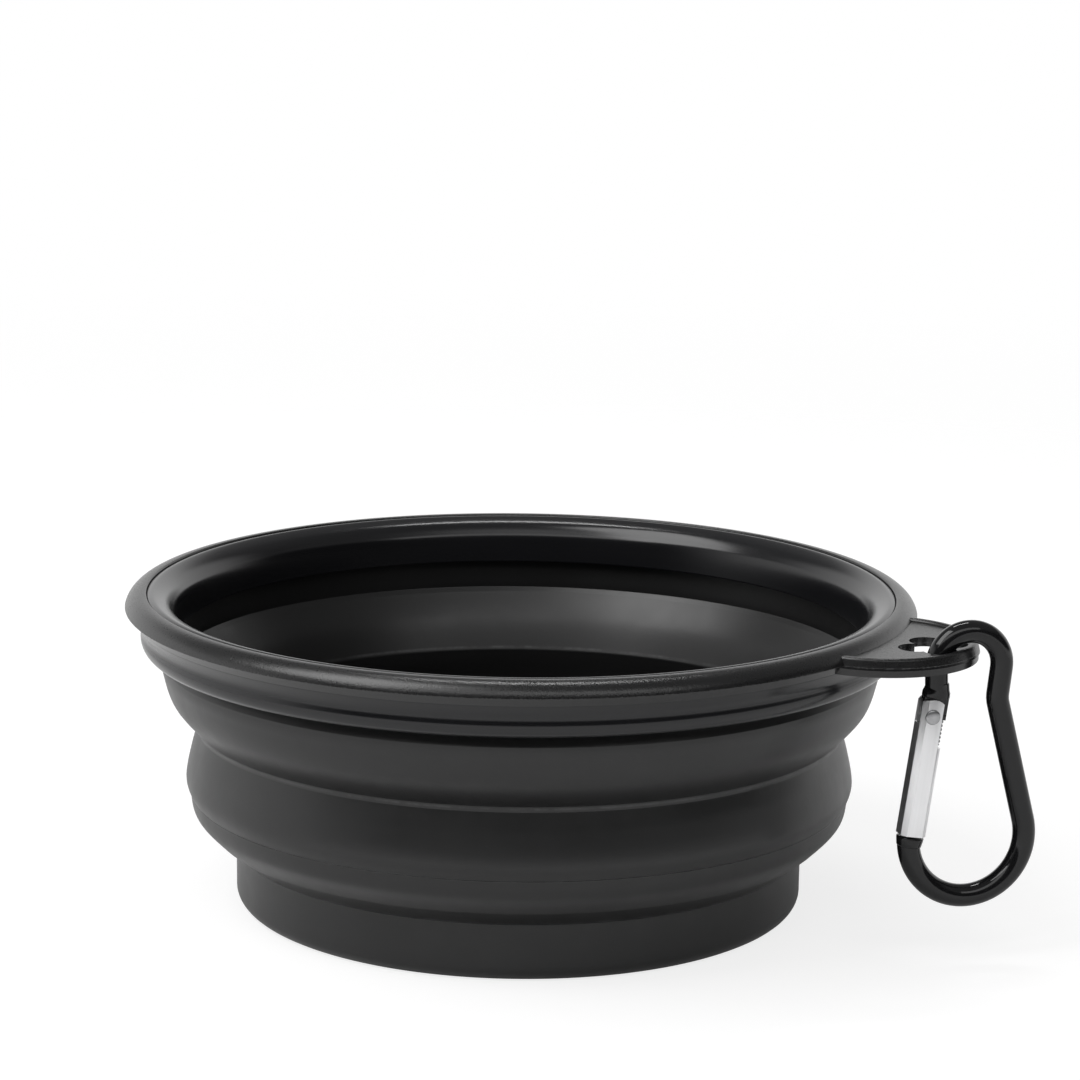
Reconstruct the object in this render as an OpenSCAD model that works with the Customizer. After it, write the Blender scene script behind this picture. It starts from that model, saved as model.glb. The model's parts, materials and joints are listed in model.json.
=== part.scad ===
// Collapsible silicone bowl with a rigid rim, a hang tab and a snap hook.
// The bowl stands on z = 0 about the Z axis, and the hang tab points along +X.

/* [Rim ring] */
// Outer diameter of the rim ring, the widest part of the bowl
rim_d = 130; // [110:1:160]
// Width of the rim ring across its section
ring_w = 3.5; // [3:0.1:4.5]
// Height of the rim ring above its seat
ring_h = 3.8; // [3.2:0.1:4.5]
// Radius of the rounded outer edge of the rim ring
bead_r = 2.05; // [1.6:0.05:2.6]

/* [Hang tab] */
// Width of the hang tab
tab_w = 31.6; // [30.6:0.1:36]
// How far the hang tab stands out past the rim ring
tab_reach = 13.7; // [13.5:0.1:13.9]
// Height of the tab's edge flange
flange_h = 2.9; // [2.4:0.1:3.5]
// Width of the tab's edge flange
flange_w = 1.7; // [1.4:0.1:2]
// How deep the tab's web lies below the flange top
web_drop = 0.5; // [0.4:0.05:0.7]
// Thickness of the tab's web
web_t = 1.5; // [1.2:0.1:1.8]
// Diameter of each lobe of the four-lobed hole
lobe_d = 5.4; // [5.3:0.05:5.5]
// Distance of the lobes from the middle of the hole, along the tab
lobe_out = 2.05; // [1.95:0.05:2.1]
// Distance of the lobes from the middle of the hole, across the tab
lobe_side = 2.5; // [2.3:0.05:2.6]
// Distance from the edge of the rim ring to the middle of the hole
hole_reach = 6.85; // [6.75:0.05:6.95]

/* [Rim frame] */
// Width of the lip from the ring's groove to the lip's lower edge
lip_w = 5.25; // [4.5:0.05:7]
// Height of the lip from the rim's top to its lower edge
lip_h = 7.6; // [6.5:0.1:8.2]
// Height of the collar below the ring's seat
collar_h = 5.4; // [5:0.1:8]
// Inset of the ring's seat from the edge of the ring
seat_inset = 1; // [0.9:0.1:2.4]
// Inset of the collar's neck from the edge of the ring
neck_inset = 3.1; // [2.6:0.1:3.5]
// Inset of the collar's roll from the edge of the ring
roll_inset = 2.5; // [2:0.1:3.2]

/* [Silicone wall] */
// Thickness of the silicone wall
wall_t = 2.2; // [1.8:0.1:2.8]
// Thickness of the silicone at its hinges
hinge_t = 1.1; // [0.8:0.1:1.3]
// Height of the hinge strip below the collar
hinge_h = 4; // [3:0.1:5]
// Height of the upper fold, from the upper crease to the collar
upper_h = 13.8; // [12.5:0.1:17]
// Height of the middle band, from the parting line to the upper crease
middle_h = 10.6; // [8:0.1:13]
// Height of the lower fold, from the lower crease to the parting line
lower_h = 9.3; // [7:0.1:12]
// How far the upper band stands out past the middle band's bulge
band_step = 3.8; // [3:0.1:4]
// Depth of the upper crease below the bulge
upper_crease_depth = 1.9; // [1.2:0.1:2.4]
// Depth of the lower crease below the bulge
lower_crease_depth = 8.2; // [7:0.1:11]

/* [Base cup] */
// Height of the base cup, from the table to the lower crease
base_h = 9.4; // [8:0.1:12]
// Thickness of the floor
floor_t = 2.5; // [2:0.1:3.5]
// Radius of the rounded edge under the base
base_edge_r = 2; // [1:0.1:3]
// Radius of the fillet round the inside of the floor
floor_fillet_r = 2.6; // [1.5:0.1:3.2]

/* [Snap hook] */
// Diameter of the hook's wire
rod_d = 3.6; // [3.4:0.05:3.65]
// Radius of the hook's small arch, at the middle of the wire
arch_r = 5.4; // [5.35:0.01:5.5]
// Radius of the hook's large bow, at the middle of the wire
bow_r = 9.65; // [9:0.05:11]
// Distance from the arch's centre down to the bow's centre
hook_drop = 27.8; // [25:0.05:32]
// Distance of the bow's centre outwards from the arch's centre
bow_shift = 0.6; // [0:0.1:1.5]
// Turn of the hook's plane from the tab's middle line
hook_turn = 40; // [37:1:42]

/* [Gate] */
// Width of the gate across its front
gate_w = 4.1; // [3.9:0.1:4.6]
// Width of the gate's two cheeks, beside the slot
cheek_w = 3.3; // [3:0.1:3.5]
// Thickness of the gate from cheek to cheek
gate_t = 3.8; // [3.7:0.1:4.2]
// Radius of the gate's rounded upper end about the rivet
gate_top_r = 2.7; // [2.4:0.1:2.9]
// Length of the spring's slot below the rivet
slot_len = 5; // [4.8:0.1:6]
// Thickness of the wall behind the slot
slot_back_t = 0.8; // [0.6:0.1:1]
// Distance from the arch's centre down to the rivet
rivet_drop = 7.6; // [7.4:0.1:8.4]
// Distance from the arch's centre inwards to the rivet
rivet_reach = 6.45; // [6.3:0.05:6.7]
// Diameter of the rivet's shank
rivet_d = 1.4; // [1.2:0.1:1.6]
// Diameter of the rivet's heads
rivet_head_d = 3; // [2.6:0.1:3.2]
// Thickness of the rivet's heads
rivet_head_t = 0.5; // [0.3:0.1:0.8]
// Thickness of the hook's tongue inside the gate
tongue_t = 1.5; // [1.4:0.1:1.7]
// Radius of the tongue's eye round the rivet
eye_r = 1.25; // [1.15:0.05:1.4]

/* [Gate spring] */
// Diameter of the spring's wire
wire_d = 0.32; // [0.25:0.01:0.34]
// Outer diameter of the spring
spring_d = 1.5; // [1.2:0.1:1.6]
// Number of curls in the spring
curls = 4; // [3:1:4]

/* [Hidden] */
$fn = 96;
ring_fn = 180;

// Running clearances and the one overrun used by every cut
overrun = 1;
groove_gap = 0.25;
fold_clearance = 0.8;
seat_gap = 0.1;
rivet_clearance = 0.05;
slot_clearance = 0.15;
nose_gap = 0.3;
hang_gap = 0.25;

// Heights, from the table upwards
lower_crease_z = base_h;
parting_z = lower_crease_z + lower_h;
upper_crease_z = parting_z + middle_h;
collar_z = upper_crease_z + upper_h;
seat_z = collar_z + collar_h;
top_z = seat_z + ring_h;
lip_z = top_z - lip_h;

// Radii, from the rim inwards
rim_r = rim_d / 2;
ring_in_r = rim_r - ring_w;
lip_out_r = ring_in_r - groove_gap;
lip_r = lip_out_r - lip_w;
bulge_r = lip_r - fold_clearance;
band_r = bulge_r + band_step;
upper_crease_r = bulge_r - upper_crease_depth;
lower_crease_r = bulge_r - lower_crease_depth;

// Shares that place the turning points of the wall between its named heights and radii
curve_steps = 5;
hinge_dip_share = 0.4;
hinge_dip_depth_share = 0.6;
band_edge_share = 0.52;
band_edge_inset_share = 0.1;
shoulder_height_share = 0.38;
shoulder_reach_share = 0.7;
bulge_height_share = 0.24;
flank_height_share = 0.69;
flank_reach_share = 0.52;
parting_inset_share = 0.32;
lower_height_shares = [0.67, 0.33];
lower_reach_shares = [0.09, 0.48];
cone_lift_share = 0.6;
crease_wall_share = 0.6;
belly_share = 0.14;

// A point on the smooth curve through b and c, with a before them and d after them
function between(a, b, c, d, t) =
    (2 * b + (c - a) * t + (2 * a - 5 * b + 4 * c - d) * t * t + (3 * b - a - 3 * c + d) * t * t * t) / 2;

// A smooth curve through all the given points
function smooth(p) = concat(
    [for (i = [0 : len(p) - 2])
        for (j = [0 : curve_steps - 1])
            between(p[max(i - 1, 0)], p[i], p[i + 1], p[min(i + 2, len(p) - 1)], j / curve_steps)],
    [p[len(p) - 1]]);

// Points on an arc
function arc(c, r, from, to, steps) =
    [for (i = [0 : steps])
        let (t = from + (to - from) * i / steps)
            c + r * [cos(t), sin(t)]];

// The same list in the other order
function reversed(p) = [for (i = [len(p) - 1 : -1 : 0]) p[i]];

// The same list without its first point
function after(p) = [for (i = [1 : len(p) - 1]) p[i]];

// A ring turned from an outline
module turned(outline) {
    rotate_extrude($fn = ring_fn)
        polygon(outline);
}

// Rim ring with its hang tab

tab_r = tab_w / 2;
tab_tip_r = rim_r + tab_reach;
tab_c = tab_tip_r - tab_r;
flange_top_z = seat_z + flange_h;
web_top_z = flange_top_z - web_drop;
web_z = web_top_z - web_t;
hole_r = rim_r + hole_reach;
lobe_r = lobe_d / 2;
tab_root_r = rim_r - ring_w / 2;
flange_step_share = 0.38;
flange_inset_share = 0.12;
flange_round_share = 0.32;
ring_chamfer_share = 0.15;
bead_steps = 14;

bead_c = [rim_r - bead_r, top_z - bead_r];
bead_start = -asin(min(1, (bead_c[1] - seat_z) / bead_r));
ring_outline = concat(
    [[ring_in_r, seat_z]],
    arc(bead_c, bead_r, bead_start, 90, bead_steps),
    [[ring_in_r + ring_chamfer_share * ring_w, top_z],
     [ring_in_r, top_z - ring_chamfer_share * ring_w]]);

// Section of the tab's flange: a rounded bead over a small step
flange_round = flange_round_share * flange_w;
flange_step_z = seat_z + flange_step_share * flange_h;
flange_step_r = tab_r - flange_inset_share * flange_w;
flange_in_r = tab_r - flange_w;
flange_outline = concat(
    [[flange_in_r, seat_z], [flange_step_r, seat_z],
     [flange_step_r, flange_step_z], [tab_r, flange_step_z]],
    arc([tab_r - flange_round, flange_top_z - flange_round], flange_round, 0, 90, curve_steps),
    arc([flange_in_r + flange_round, flange_top_z - flange_round], flange_round, 90, 180, curve_steps));

// The hole's four lobes and its middle
hole_points = [[hole_r, 0], [hole_r + lobe_out, lobe_side], [hole_r + lobe_out, -lobe_side],
               [hole_r - lobe_out, lobe_side], [hole_r - lobe_out, -lobe_side]];

module hole_cut() {
    for (p = hole_points)
        translate([p[0], p[1], web_z - overrun])
            cylinder(h = web_t + 2 * overrun, r = lobe_r);
}

module hang_tab() {
    difference() {
        union() {
            translate([tab_c, 0, 0])
                rotate_extrude()
                    polygon(flange_outline);
            translate([tab_c, 0, web_z])
                cylinder(h = web_t, r = tab_r - flange_w / 2);
        }
        translate([0, 0, seat_z - overrun])
            cylinder(h = flange_h + 2 * overrun, r = tab_root_r);
        hole_cut();
    }
}

module rim_ring() {
    color("#2b2b2e")
        union() {
            turned(ring_outline);
            hang_tab();
        }
}

// Rim frame: the lip round the mouth and the collar that the silicone hangs from

lip_crest_share = 0.2;
lip_edge_share = 0.22;
lip_crest_drop_share = 0.045;
lip_turn_share = 0.3;
lip_turn_drop_share = 0.33;
collar_neck_share = 0.74;
collar_roll_share = 0.24;
collar_lip_share = 0.13;
key_share = 0.6;
frame_key_h = key_share * collar_h;
key_out_r = band_r + seat_gap;
key_in_r = band_r - hinge_t - seat_gap;
collar_lip_r = band_r + collar_lip_share * band_step;

frame_outline = concat(
    [[key_out_r, collar_z]],
    smooth([[collar_lip_r, collar_z],
            [rim_r - roll_inset, collar_z + collar_roll_share * collar_h],
            [rim_r - neck_inset, collar_z + collar_neck_share * collar_h],
            [rim_r - seat_inset, seat_z]]),
    [[lip_out_r, seat_z]],
    smooth([[lip_out_r, top_z - lip_edge_share * ring_h],
            [lip_out_r - lip_crest_share * lip_w, top_z - lip_crest_drop_share * lip_h],
            [lip_r + lip_turn_share * lip_w, top_z - lip_turn_drop_share * lip_h],
            [lip_r, lip_z]]),
    [[key_in_r, lip_z], [key_in_r, collar_z + frame_key_h], [key_out_r, collar_z + frame_key_h]]);

module rim_frame() {
    color("#1c1c1f")
        turned(frame_outline);
}

// Silicone moulding, parted level with its creases and its parting line

hinge_dip_z = collar_z - (1 - hinge_dip_share) * hinge_h;
hinge_dip_r = band_r - hinge_dip_depth_share * hinge_t;
band_top_z = collar_z - hinge_h;
band_edge_z = collar_z - band_edge_share * hinge_h;
band_edge_r = band_r - band_edge_inset_share * wall_t;
shoulder_z = upper_crease_z + shoulder_height_share * upper_h;
shoulder_r = upper_crease_r + shoulder_reach_share * (band_r - upper_crease_r);
bulge_z = parting_z + bulge_height_share * middle_h;
flank_z = parting_z + flank_height_share * middle_h;
flank_r = upper_crease_r + flank_reach_share * upper_crease_depth;
parting_r = bulge_r - parting_inset_share * wall_t;
crease_t = crease_wall_share * wall_t;
lower_run = parting_r - lower_crease_r;
lower_points = [for (i = [0 : len(lower_height_shares) - 1])
    [parting_r - lower_reach_shares[i] * lower_run, lower_crease_z + lower_height_shares[i] * lower_h]];

upper_outline = concat(
    [[band_r - hinge_t, collar_z + frame_key_h - seat_gap], [band_r, collar_z + frame_key_h - seat_gap]],
    smooth([[band_r, collar_z], [hinge_dip_r, (collar_z + band_edge_z) / 2], [band_edge_r, band_edge_z]]),
    after(smooth([[band_edge_r, band_edge_z],
                  [band_r, band_top_z],
                  [shoulder_r, shoulder_z],
                  [upper_crease_r, upper_crease_z]])),
    smooth([[upper_crease_r - crease_t, upper_crease_z],
            [shoulder_r - wall_t, shoulder_z],
            [band_r - wall_t, band_top_z]]),
    smooth([[hinge_dip_r - hinge_t, hinge_dip_z], [band_r - hinge_t, collar_z]]));

middle_outline = concat(
    smooth([[upper_crease_r, upper_crease_z],
            [flank_r, flank_z],
            [bulge_r, bulge_z],
            [parting_r, parting_z]]),
    smooth([[parting_r - wall_t, parting_z],
            [bulge_r - wall_t, bulge_z],
            [flank_r - wall_t, flank_z],
            [upper_crease_r - crease_t, upper_crease_z]]));

lower_outline = concat(
    smooth(concat([[parting_r, parting_z]], lower_points, [[lower_crease_r, lower_crease_z]])),
    smooth(concat([[lower_crease_r - crease_t, lower_crease_z]],
                  [for (p = reversed(lower_points)) p + cone_lift_share * wall_t * [-1, 1]],
                  [[parting_r - wall_t, parting_z]])));

base_r = lower_crease_r + belly_share * wall_t;
base_outline = concat(
    [[0, 0]],
    arc([base_r - base_edge_r, base_edge_r], base_edge_r, -90, 0, curve_steps),
    [[lower_crease_r, lower_crease_z], [lower_crease_r - crease_t, lower_crease_z]],
    arc([base_r - wall_t - floor_fillet_r, floor_t + floor_fillet_r], floor_fillet_r, 0, -90, curve_steps),
    [[0, floor_t]]);

module upper_fold() {
    color("#3a3a3c")
        turned(upper_outline);
}

module middle_band() {
    color("#38383a")
        turned(middle_outline);
}

module lower_fold() {
    color("#3a3a3c")
        turned(lower_outline);
}

module base_cup() {
    color("#363638")
        turned(base_outline);
}

// Snap hook, drawn flat with x outwards and y up about the arch's centre

rod_r = rod_d / 2;
arch_in_r = arch_r - rod_r;
neck_lean = 6;
neck_run_share = 0.15;
neck_r_share = 1.3;
nose_turn = 186;
nose_overlap_turn = 5;
nose_h_share = 0.45;
nose_r_share = 1.23;
nose_foot_share = 1.08;
wire_fn = 48;
wire_lap = 0.4;
wire_step = 0.05;

// The arch hangs round the tab's outer bar, with its inner edge clear of the corner of the hole
bar_share = 0.61;
bar_in = bar_share * arch_in_r;
arch_z = web_top_z - sqrt(pow(arch_in_r - hang_gap, 2) - pow(bar_in, 2));
arch_xy = hole_points[2] + (lobe_r + bar_in) * [cos(hook_turn), sin(hook_turn)];

// Outer side of the hook: arch, short run inwards, bend outwards, spine, bow
bow_c = [bow_shift, -hook_drop];
neck_r = neck_r_share * rod_d;
arch_end = arch_r * [cos(neck_lean), -sin(neck_lean)];
neck_start = arch_end - neck_run_share * hook_drop * [sin(neck_lean), cos(neck_lean)];
neck_c = neck_start + neck_r * [cos(neck_lean), -sin(neck_lean)];
spine_away = bow_c - neck_c;
spine_dir = atan2(spine_away[1], spine_away[0]) + asin((bow_r + neck_r) / norm(spine_away));
spine_start = neck_c + neck_r * [sin(spine_dir), -cos(spine_dir)];
spine_end = bow_c - bow_r * [sin(spine_dir), -cos(spine_dir)];
bow_start = nose_turn - nose_overlap_turn;
bow_sweep = spine_dir + 450 - bow_start;
nose = bow_c + bow_r * [cos(nose_turn), sin(nose_turn)];
nose_r = nose_r_share * rod_r;
nose_foot_r = nose_foot_share * rod_r;
nose_h = nose_h_share * rod_d;

// The gate runs from the rivet to the middle of the nose
rivet_p = [-rivet_reach, -rivet_drop];
gate_back = cheek_w / 2;
gate_front = gate_w - gate_back;
gate_mid = (gate_front - gate_back) / 2;
gate_run = nose - rivet_p;
gate_dir = atan2(gate_run[1], gate_run[0]) + 90 - asin(gate_mid / norm(gate_run));
nose_y = -sqrt(pow(norm(gate_run), 2) - pow(gate_mid, 2));
gate_y = nose_y + nose_h + nose_gap;

// Flattened end of the hook, in the gate's frame
tongue_back_share = 0.8;
tongue_front_share = 0.66;
tongue_foot_share = 0.48;
tongue_overlap_share = 0.5;
block_side = 0.25;
block_h_share = 0.7;
block_t_share = 1.05;
leg_overlap_share = 0.4;
tongue_back = tongue_back_share * gate_back;
tongue_front = tongue_front_share * gate_w;
tongue_foot = tongue_foot_share * eye_r;
tongue_mid = (tongue_front - tongue_back) / 2;
block_r = (tongue_front + tongue_back) / 2 + block_side;
block_top_r = block_r - block_side / 2;
block_y = gate_top_r + slot_clearance;
block_h = block_h_share * rod_d;
block_t = block_t_share * rod_d;
leg_y = block_y + (1 - leg_overlap_share) * block_h;
leg_end = rivet_p + [tongue_mid * cos(gate_dir) - leg_y * sin(gate_dir),
                     tongue_mid * sin(gate_dir) + leg_y * cos(gate_dir)];

// Inner side of the hook: the leg leaves the arch straight towards the shoulder
leg_turn = atan2(leg_end[1], leg_end[0]) - acos(arch_r / norm(leg_end)) + 360;
leg_start = arch_r * [cos(leg_turn), sin(leg_turn)];

// Puts a flat drawing of the hook where it hangs
module hung() {
    translate([arch_xy[0], arch_xy[1], arch_z])
        rotate([90, 0, hook_turn])
            children();
}

// Puts a part in the gate's own frame: rivet at the origin, nose down along -y, eye of the hook at +x
module at_gate() {
    hung()
        translate(rivet_p)
            rotate([0, 0, gate_dir])
                children();
}

// A straight run of the hook's wire, a little proud of the bends that it laps at both ends
module rod(from, to) {
    run = to - from;
    translate(from)
        rotate([0, 0, atan2(run[1], run[0])])
            rotate([0, 90, 0])
                translate([0, 0, -wire_lap])
                    cylinder(h = norm(run) + 2 * wire_lap, r = rod_r + wire_step, $fn = wire_fn);
}

// A bend of the hook's wire
module bend(c, r, from, sweep) {
    translate(c)
        rotate([0, 0, from])
            rotate_extrude(angle = sweep)
                translate([r, 0])
                    circle(r = rod_r, $fn = wire_fn);
}

// Flat tongue with the eye that the rivet goes through
module tongue() {
    difference() {
        union() {
            translate([-tongue_back, 0, -tongue_t / 2])
                cube([tongue_back + tongue_front, block_y + tongue_overlap_share * block_h, tongue_t]);
            translate([0, -tongue_foot, -tongue_t / 2])
                cube([tongue_front, tongue_foot + block_y, tongue_t]);
            translate([0, 0, -tongue_t / 2])
                cylinder(h = tongue_t, r = eye_r);
        }
        translate([0, 0, -tongue_t])
            cylinder(h = 2 * tongue_t, r = rivet_d / 2 + rivet_clearance);
    }
}

// Shoulder between the round wire and the tongue
module shoulder() {
    intersection() {
        translate([tongue_mid, block_y, 0])
            rotate([-90, 0, 0])
                cylinder(h = block_h, r1 = block_r, r2 = block_top_r);
        translate([tongue_mid - block_r, block_y, -block_t / 2])
            cube([2 * block_r, block_h, block_t]);
    }
}

// Flared end of the hook that the gate closes on
module nose_seat() {
    translate([gate_mid, nose_y + nose_h, 0])
        rotate([90, 0, 0])
            cylinder(h = nose_h, r1 = nose_r, r2 = nose_foot_r);
}

module carabiner_frame() {
    color("#0d0d0e")
        union() {
            hung() {
                bend([0, 0], arch_r, -neck_lean, leg_turn + neck_lean);
                rod(arch_end, neck_start);
                bend(neck_c, neck_r, 180 - neck_lean, spine_dir + 90 + neck_lean);
                rod(spine_start, spine_end);
                bend(bow_c, bow_r, bow_start, bow_sweep);
                rod(leg_start, leg_end);
            }
            at_gate() {
                tongue();
                shoulder();
                nose_seat();
            }
        }
}

// Gate: a chamfered bar, forked over the tongue and slotted for the spring

gate_edge_share = 0.2;
gate_edge = gate_edge_share * gate_t;
slot_w = tongue_t + 2 * slot_clearance;
gate_section = [[-gate_back + gate_edge, -gate_t / 2], [gate_front - gate_edge, -gate_t / 2],
                [gate_front, -gate_t / 2 + gate_edge], [gate_front, gate_t / 2 - gate_edge],
                [gate_front - gate_edge, gate_t / 2], [-gate_back + gate_edge, gate_t / 2],
                [-gate_back, gate_t / 2 - gate_edge], [-gate_back, -gate_t / 2 + gate_edge]];

module carabiner_gate() {
    color("#c9cacc")
        at_gate()
            difference() {
                intersection() {
                    translate([0, gate_top_r, 0])
                        rotate([90, 0, 0])
                            linear_extrude(gate_top_r - gate_y)
                                polygon(gate_section);
                    union() {
                        translate([0, 0, -gate_t])
                            cylinder(h = 2 * gate_t, r = gate_top_r);
                        translate([-gate_w, gate_y - overrun, -gate_t])
                            cube([2 * gate_w, overrun - gate_y, 2 * gate_t]);
                    }
                }
                translate([gate_back, -slot_len, -gate_t])
                    cube([gate_w, slot_len + gate_top_r + overrun, 2 * gate_t]);
                translate([-gate_back + slot_back_t, -slot_len, -slot_w / 2])
                    cube([gate_w, slot_len + gate_top_r + overrun, slot_w]);
                translate([-gate_w, -eye_r - slot_clearance, -slot_w / 2])
                    cube([2 * gate_w, eye_r + slot_clearance + gate_top_r + overrun, slot_w]);
                translate([0, 0, -gate_t])
                    cylinder(h = 2 * gate_t, r = rivet_d / 2 + rivet_clearance);
            }
}

// Rivet with two domed heads

head_z = gate_t / 2 + rivet_clearance;
head_arc_steps = 6;
rivet_fn = 64;
head_rise_share = 0.35;
dome_r = rivet_head_d / 2;
dome_z = head_z + head_rise_share * rivet_head_t;
dome_h = (1 - head_rise_share) * rivet_head_t;
head_half = [for (i = [0 : head_arc_steps])
    let (t = 90 * i / head_arc_steps)
        [dome_r * cos(t), dome_z + dome_h * sin(t)]];
rivet_outline = concat(
    [for (p = reversed(head_half)) [p[0], -p[1]]],
    [[dome_r, -head_z], [rivet_d / 2, -head_z], [rivet_d / 2, head_z], [dome_r, head_z]],
    head_half);

module gate_rivet() {
    color("#9b9c9e")
        at_gate()
            rotate_extrude($fn = rivet_fn)
                polygon(rivet_outline);
}

// Spring in the gate's slot, one wire from the tongue's foot to the end of the slot

curl_rings = 8;
wire_sides = 6;
spring_x_share = 0.58;
spring_x = spring_x_share * cheek_w;
coil_r = (spring_d - wire_d) / 2;
spring_top = -tongue_foot - slot_clearance;
spring_bottom = -slot_len + slot_clearance;
coil_top = spring_top - 3 * wire_d / 2;
coil_drop = spring_top - spring_bottom - 3 * wire_d;
coil_n = curls * curl_rings;

function spoke(i) = [cos(360 * i / curl_rings), 0, sin(360 * i / curl_rings)];
function coil_point(i) = [spring_x, coil_top - coil_drop * i / coil_n, 0] + coil_r * spoke(i);

// The wire's path with the outward direction at each point; both ends run straight along the slot
coil = [for (i = [0 : coil_n]) coil_point(i)];
wire_path = concat([coil[0] + [0, wire_d, 0]], coil, [coil[coil_n] - [0, wire_d, 0]]);
wire_out = concat([spoke(0)], [for (i = [0 : coil_n]) spoke(i)], [spoke(coil_n)]);
wire_last = len(wire_path) - 1;

function unit(v) = v / norm(v);
function along(i) = unit(wire_path[min(i + 1, wire_last)] - wire_path[max(i - 1, 0)]);
function wire_ring(i) = let (t = along(i), a = unit(wire_out[i] - (wire_out[i] * t) * t), b = cross(t, a))
    [for (k = [0 : wire_sides - 1])
        wire_path[i] + wire_d / 2 * (cos(360 * k / wire_sides) * a + sin(360 * k / wire_sides) * b)];

wire_points = [for (i = [0 : wire_last]) each wire_ring(i)];
wire_faces = concat(
    [for (i = [0 : wire_last - 1]) for (k = [0 : wire_sides - 1])
        let (a = i * wire_sides + k, b = i * wire_sides + (k + 1) % wire_sides)
            each [[a, a + wire_sides, b], [b, a + wire_sides, b + wire_sides]]],
    [for (k = [1 : wire_sides - 2]) [0, k, k + 1]],
    [for (k = [1 : wire_sides - 2]) wire_last * wire_sides * [1, 1, 1] + [0, k + 1, k]]);

coil_gaps = [for (i = [0 : coil_n])
    for (j = [i + curl_rings / 2 : coil_n])
        norm(coil[i] - coil[j]) - wire_d];
echo("least gap of the spring to itself", min(coil_gaps));

module gate_spring() {
    color("#8c8d90")
        at_gate()
            polyhedron(wire_points, wire_faces);
}

rim_ring();
rim_frame();
upper_fold();
middle_band();
lower_fold();
base_cup();
carabiner_frame();
carabiner_gate();
gate_rivet();
gate_spring();
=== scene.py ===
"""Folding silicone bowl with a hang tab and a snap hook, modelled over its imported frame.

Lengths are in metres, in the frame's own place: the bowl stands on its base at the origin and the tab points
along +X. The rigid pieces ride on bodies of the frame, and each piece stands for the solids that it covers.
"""
import json
import math

import bmesh
import bpy
from bpy.props import FloatProperty, FloatVectorProperty, PointerProperty
from bpy.types import Operator, Panel, PropertyGroup
from mathutils import Matrix, Vector


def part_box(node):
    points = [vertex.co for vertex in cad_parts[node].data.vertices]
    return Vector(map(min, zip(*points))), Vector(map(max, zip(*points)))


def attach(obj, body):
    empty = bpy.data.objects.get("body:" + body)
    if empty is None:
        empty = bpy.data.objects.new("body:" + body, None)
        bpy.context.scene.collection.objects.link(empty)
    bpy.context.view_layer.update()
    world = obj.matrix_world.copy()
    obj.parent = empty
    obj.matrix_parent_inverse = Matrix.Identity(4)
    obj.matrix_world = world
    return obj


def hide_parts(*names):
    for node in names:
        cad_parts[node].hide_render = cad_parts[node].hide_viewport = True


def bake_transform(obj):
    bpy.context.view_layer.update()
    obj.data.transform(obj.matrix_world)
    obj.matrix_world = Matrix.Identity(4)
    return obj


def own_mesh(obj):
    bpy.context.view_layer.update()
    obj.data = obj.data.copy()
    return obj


bl_info = {
    "name": "Folding silicone bowl",
    "version": (1, 0, 0),
    "blender": (4, 5, 0),
    "location": "View3D > Sidebar > Bowl",
    "description": "Models a folding silicone bowl with its hang tab and snap hook",
    "category": "Add Mesh",
}

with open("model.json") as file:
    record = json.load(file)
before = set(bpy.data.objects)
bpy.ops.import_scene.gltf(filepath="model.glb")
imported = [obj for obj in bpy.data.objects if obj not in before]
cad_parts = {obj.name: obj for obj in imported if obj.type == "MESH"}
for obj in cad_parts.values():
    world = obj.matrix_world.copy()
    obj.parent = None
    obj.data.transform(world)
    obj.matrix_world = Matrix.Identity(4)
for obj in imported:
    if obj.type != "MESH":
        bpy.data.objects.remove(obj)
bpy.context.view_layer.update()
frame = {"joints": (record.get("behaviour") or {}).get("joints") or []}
MM = 0.001
UP = Vector((0, 0, 1))


def joint(name):
    """The frame's joint of that name."""
    for found in frame["joints"]:
        if found["name"] == name:
            return found
    raise KeyError(name)


# Heights and radii that the frame gives
BASE_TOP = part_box("base_cup")[1][2]
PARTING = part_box("lower_fold")[1][2]
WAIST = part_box("middle_band")[1][2]
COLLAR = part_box("rim_frame")[0][2]
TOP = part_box("rim_ring")[1][2]
RIM_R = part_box("rim_ring")[1][1]
BULGE_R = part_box("middle_band")[1][1]
BAND_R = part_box("upper_fold")[1][1]
TAB_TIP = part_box("rim_ring")[1][0]
TAB_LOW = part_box("rim_ring")[0][2]
ARCH_AT = Vector(joint("hook_swing")["pos_m"])
RIVET_AT = Vector(joint("gate_open")["pos_m"])
HOOK_FACE = Vector(joint("hook_swing")["axis"]).normalized()

MOULD_LINE = TOP - 2.32 * MM  # where the halves of the ring's mould met
HEIGHT_MARK = "rest_height"  # attribute that keeps each silicone vertex's height at rest


def length(label, words, value):
    """A size that a user may change."""
    return FloatProperty(name=label, description=words, default=value, min=0, precision=5, unit="LENGTH")


def tint(label, words, value):
    """A colour that a user may change."""
    return FloatVectorProperty(
        name=label, description=words, default=value, min=0, max=1, size=3, subtype="COLOR")


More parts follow.
